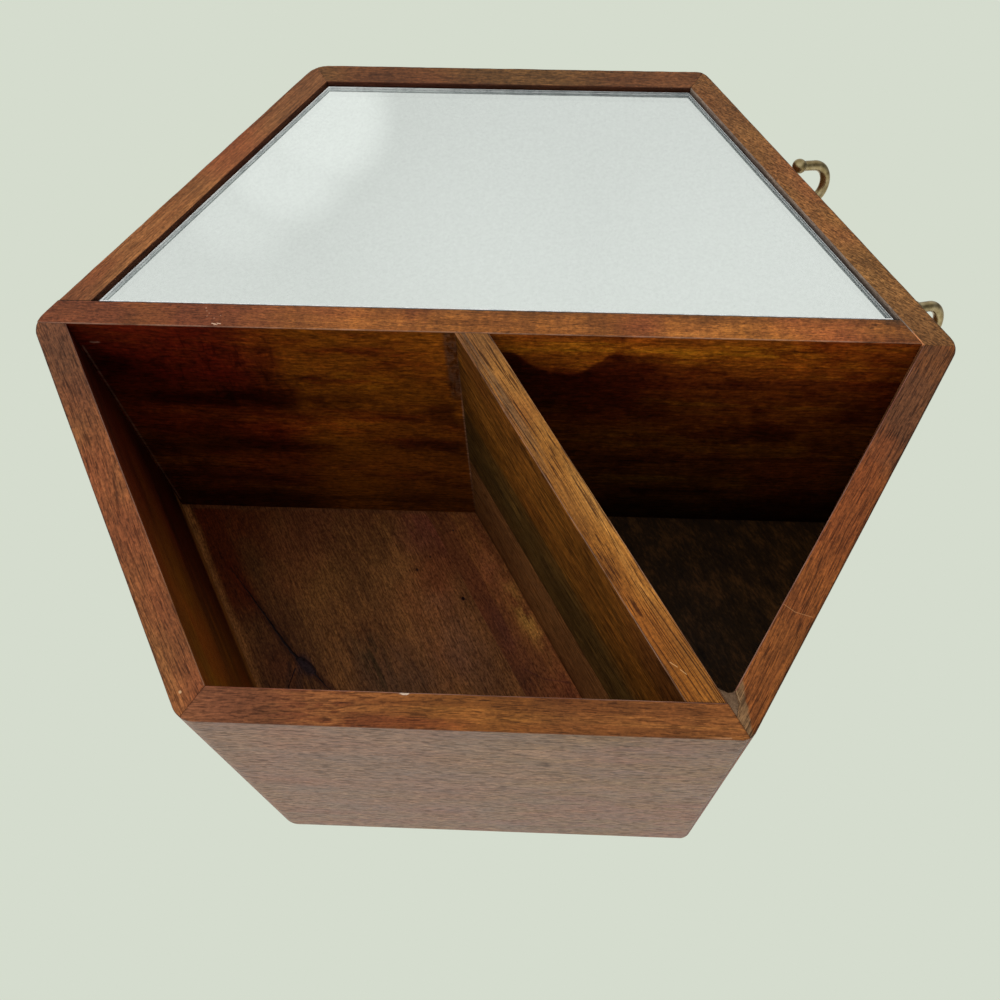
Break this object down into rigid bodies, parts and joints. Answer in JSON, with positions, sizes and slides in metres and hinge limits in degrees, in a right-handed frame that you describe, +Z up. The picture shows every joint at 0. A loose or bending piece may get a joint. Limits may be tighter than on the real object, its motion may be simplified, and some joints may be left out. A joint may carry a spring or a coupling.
{
  "type": "hexagonal wall mirror with shelf",
  "caption": "Wall-hung hexagonal wooden case with a half-hexagon mirror, an open shelf compartment, a small triangular compartment and screw hooks underneath.",
  "frame": {"origin": "centre of the hexagon on the wall plane, which is the plane of the case's rear edges", "axes": "hung upright: +Z up, +X to the right seen from the front, +Y into the wall, so the mirror and the open compartments face -Y and the hooks hang down"},
  "size_m": [0.3971, 0.176, 0.3721],
  "materials": {
    "top_board": "oiled hardwood, satin",
    "upper_right_board": "oiled hardwood, satin",
    "lower_right_board": "oiled hardwood, satin",
    "bottom_board": "oiled hardwood, satin",
    "lower_left_board": "oiled hardwood, satin",
    "upper_left_board": "oiled hardwood, satin",
    "partition_board": "oiled hardwood, satin",
    "shelf_board": "oiled hardwood, satin",
    "back_plank_upper": "oiled hardwood, satin",
    "back_plank_middle": "oiled hardwood, satin",
    "back_plank_lower": "oiled hardwood, satin",
    "filler": "dried wood filler",
    "backing": "raw plywood",
    "cleats": "raw sawn wood",
    "glass": "clear float glass, ground edge",
    "silvering": "silvered coat",
    "tape": "foam tape",
    "brass": "aged lacquered brass",
    "steel": "zinc-plated steel"
  },
  "bodies": {
    "case": {"top_board": "top_board", "upper_right_board": "upper_right_board", "lower_right_board": "lower_right_board", "bottom_board": "bottom_board", "lower_left_board": "lower_left_board", "upper_left_board": "upper_left_board", "partition_board": "partition_board", "shelf_board": "shelf_board", "corner_filler": "filler", "back_plank_upper": "back_plank_upper", "back_plank_middle": "back_plank_middle", "back_plank_lower": "back_plank_lower", "panel_pins": "steel", "mirror_glass": "glass", "mirror_silvering": "silvering", "mirror_tape": "tape", "mirror_backing_board": "backing", "cleat_partition": "cleats", "cleat_upper_right": "cleats", "cleat_lower_right": "cleats", "cleat_bottom": "cleats", "hook_inner": "brass", "hook_outer": "brass", "hanger_strap_left": "steel", "hanger_strap_right": "steel", "hanger_screws": "steel"},
    "ring_left": {"hanger_ring_left": "steel"},
    "ring_right": {"hanger_ring_right": "steel"}
  },
  "joints": [
    {"name": "ring_left_swing", "type": "hinge", "parent": "case", "child": "ring_left", "pos_m": [-0.06, -0.00265, 0.118], "axis": [1, 0, 0], "range_deg": [0, 180]},
    {"name": "ring_right_swing", "type": "hinge", "parent": "case", "child": "ring_right", "pos_m": [0.06, -0.00265, 0.118], "axis": [1, 0, 0], "range_deg": [0, 180]}
  ]
}
